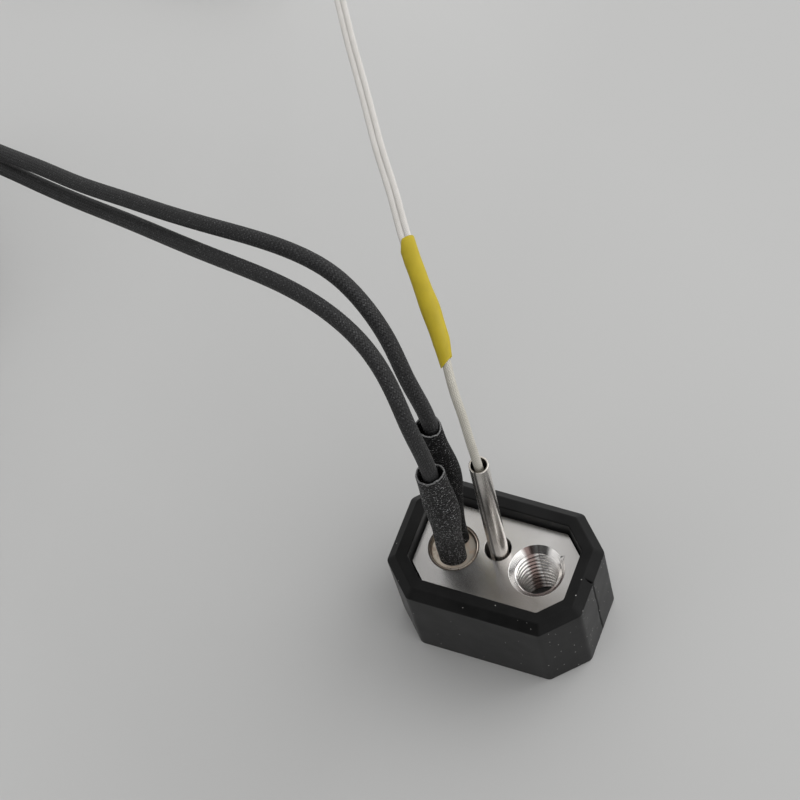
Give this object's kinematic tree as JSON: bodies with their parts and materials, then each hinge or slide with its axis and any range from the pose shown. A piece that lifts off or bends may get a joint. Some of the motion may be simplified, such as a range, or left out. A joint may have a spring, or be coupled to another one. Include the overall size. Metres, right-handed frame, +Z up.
{
  "type": "hotend heater assembly",
  "caption": "Heater block in a moulded silicone sock, with a cartridge heater, a tube temperature sensor, their long leads and clamping grub screws.",
  "frame": {"origin": "middle of the sock's underside, where it stands", "axes": "+Z up out of the block along the M6 hole, +X along the block towards the M6 hole, +Y across the block towards the side the leads leave by"},
  "size_m": [0.1319, 0.1039, 0.0539],
  "materials": {
    "black_silicone": "matte moulded silicone",
    "plated_block": "satin nickel plate, machined",
    "black_steel": "black oxide",
    "stainless": "drawn stainless steel",
    "ceramic": "matte fired ceramic",
    "resistance_wire": "bare drawn wire",
    "tinned_metal": "tin plated",
    "black_sleeving": "knitted glass fibre",
    "black_braid": "braided glass fibre",
    "cream_sleeving": "varnished glass fibre",
    "yellow_shrink": "semi-gloss heat-shrink",
    "white_insulation": "extruded fluoropolymer",
    "grey_nylon": "moulded nylon",
    "white_nylon": "moulded nylon"
  },
  "bodies": {
    "sock": {"silicone_sock": "black_silicone"},
    "block": {"heater_block": "plated_block", "lead_coil": "black_braid", "lead_tie": "grey_nylon", "lead_tail_front": "black_braid", "lead_tail_rear": "black_braid", "ferrule_collar_front": "grey_nylon", "ferrule_collar_rear": "grey_nylon", "ferrule_barrel_front": "tinned_metal", "ferrule_barrel_rear": "tinned_metal", "wire_coil": "white_insulation", "wire_tie": "white_nylon", "wire_tail_left": "white_insulation", "wire_tail_right": "white_insulation", "connector_housing": "white_nylon", "connector_terminal_left": "tinned_metal", "connector_terminal_right": "tinned_metal"},
    "heater_screw": {"heater_grub_screw": "black_steel"},
    "sensor_screw": {"sensor_grub_screw": "black_steel"},
    "heater": {"heater_sheath": "stainless", "heater_end_seal": "ceramic", "heater_core": "ceramic", "heater_winding": "resistance_wire", "heater_pin_front": "tinned_metal", "heater_pin_rear": "tinned_metal", "crimp_front": "tinned_metal", "crimp_rear": "tinned_metal", "sleeve_front": "black_sleeving", "sleeve_rear": "black_sleeving", "heater_lead_front": "black_braid", "heater_lead_rear": "black_braid"},
    "sensor": {"sensor_tube": "stainless", "sensor_bead": "ceramic", "sensor_leg_left": "resistance_wire", "sensor_leg_right": "resistance_wire", "sensor_potting": "ceramic", "sensor_sleeve": "cream_sleeving", "heat_shrink": "yellow_shrink", "splice_left": "tinned_metal", "splice_right": "tinned_metal", "sensor_wire_left": "white_insulation", "sensor_wire_right": "white_insulation"}
  },
  "joints": [
    {"name": "block_lift", "type": "slide", "parent": "sock", "child": "block", "axis": [0, 0, 1], "range_m": [0, 0.014]},
    {"name": "heater_slide", "type": "slide", "parent": "block", "child": "heater", "axis": [0, 0, 1], "range_m": [0, 0.014]},
    {"name": "sensor_slide", "type": "slide", "parent": "block", "child": "sensor", "axis": [0.0087, 0.0212, 0.9997], "range_m": [0, 0.012]},
    {"name": "heater_screw_turn", "type": "hinge", "parent": "block", "child": "heater_screw", "pos_m": [-0.00545, -0.0053, 0.0073], "axis": [0, -1, 0], "range_deg": [-360, 0]},
    {"name": "sensor_screw_turn", "type": "hinge", "parent": "block", "child": "sensor_screw", "pos_m": [-0.00025, 0.0053, 0.0073], "axis": [0, 1, 0], "range_deg": [-360, 0]}
  ]
}
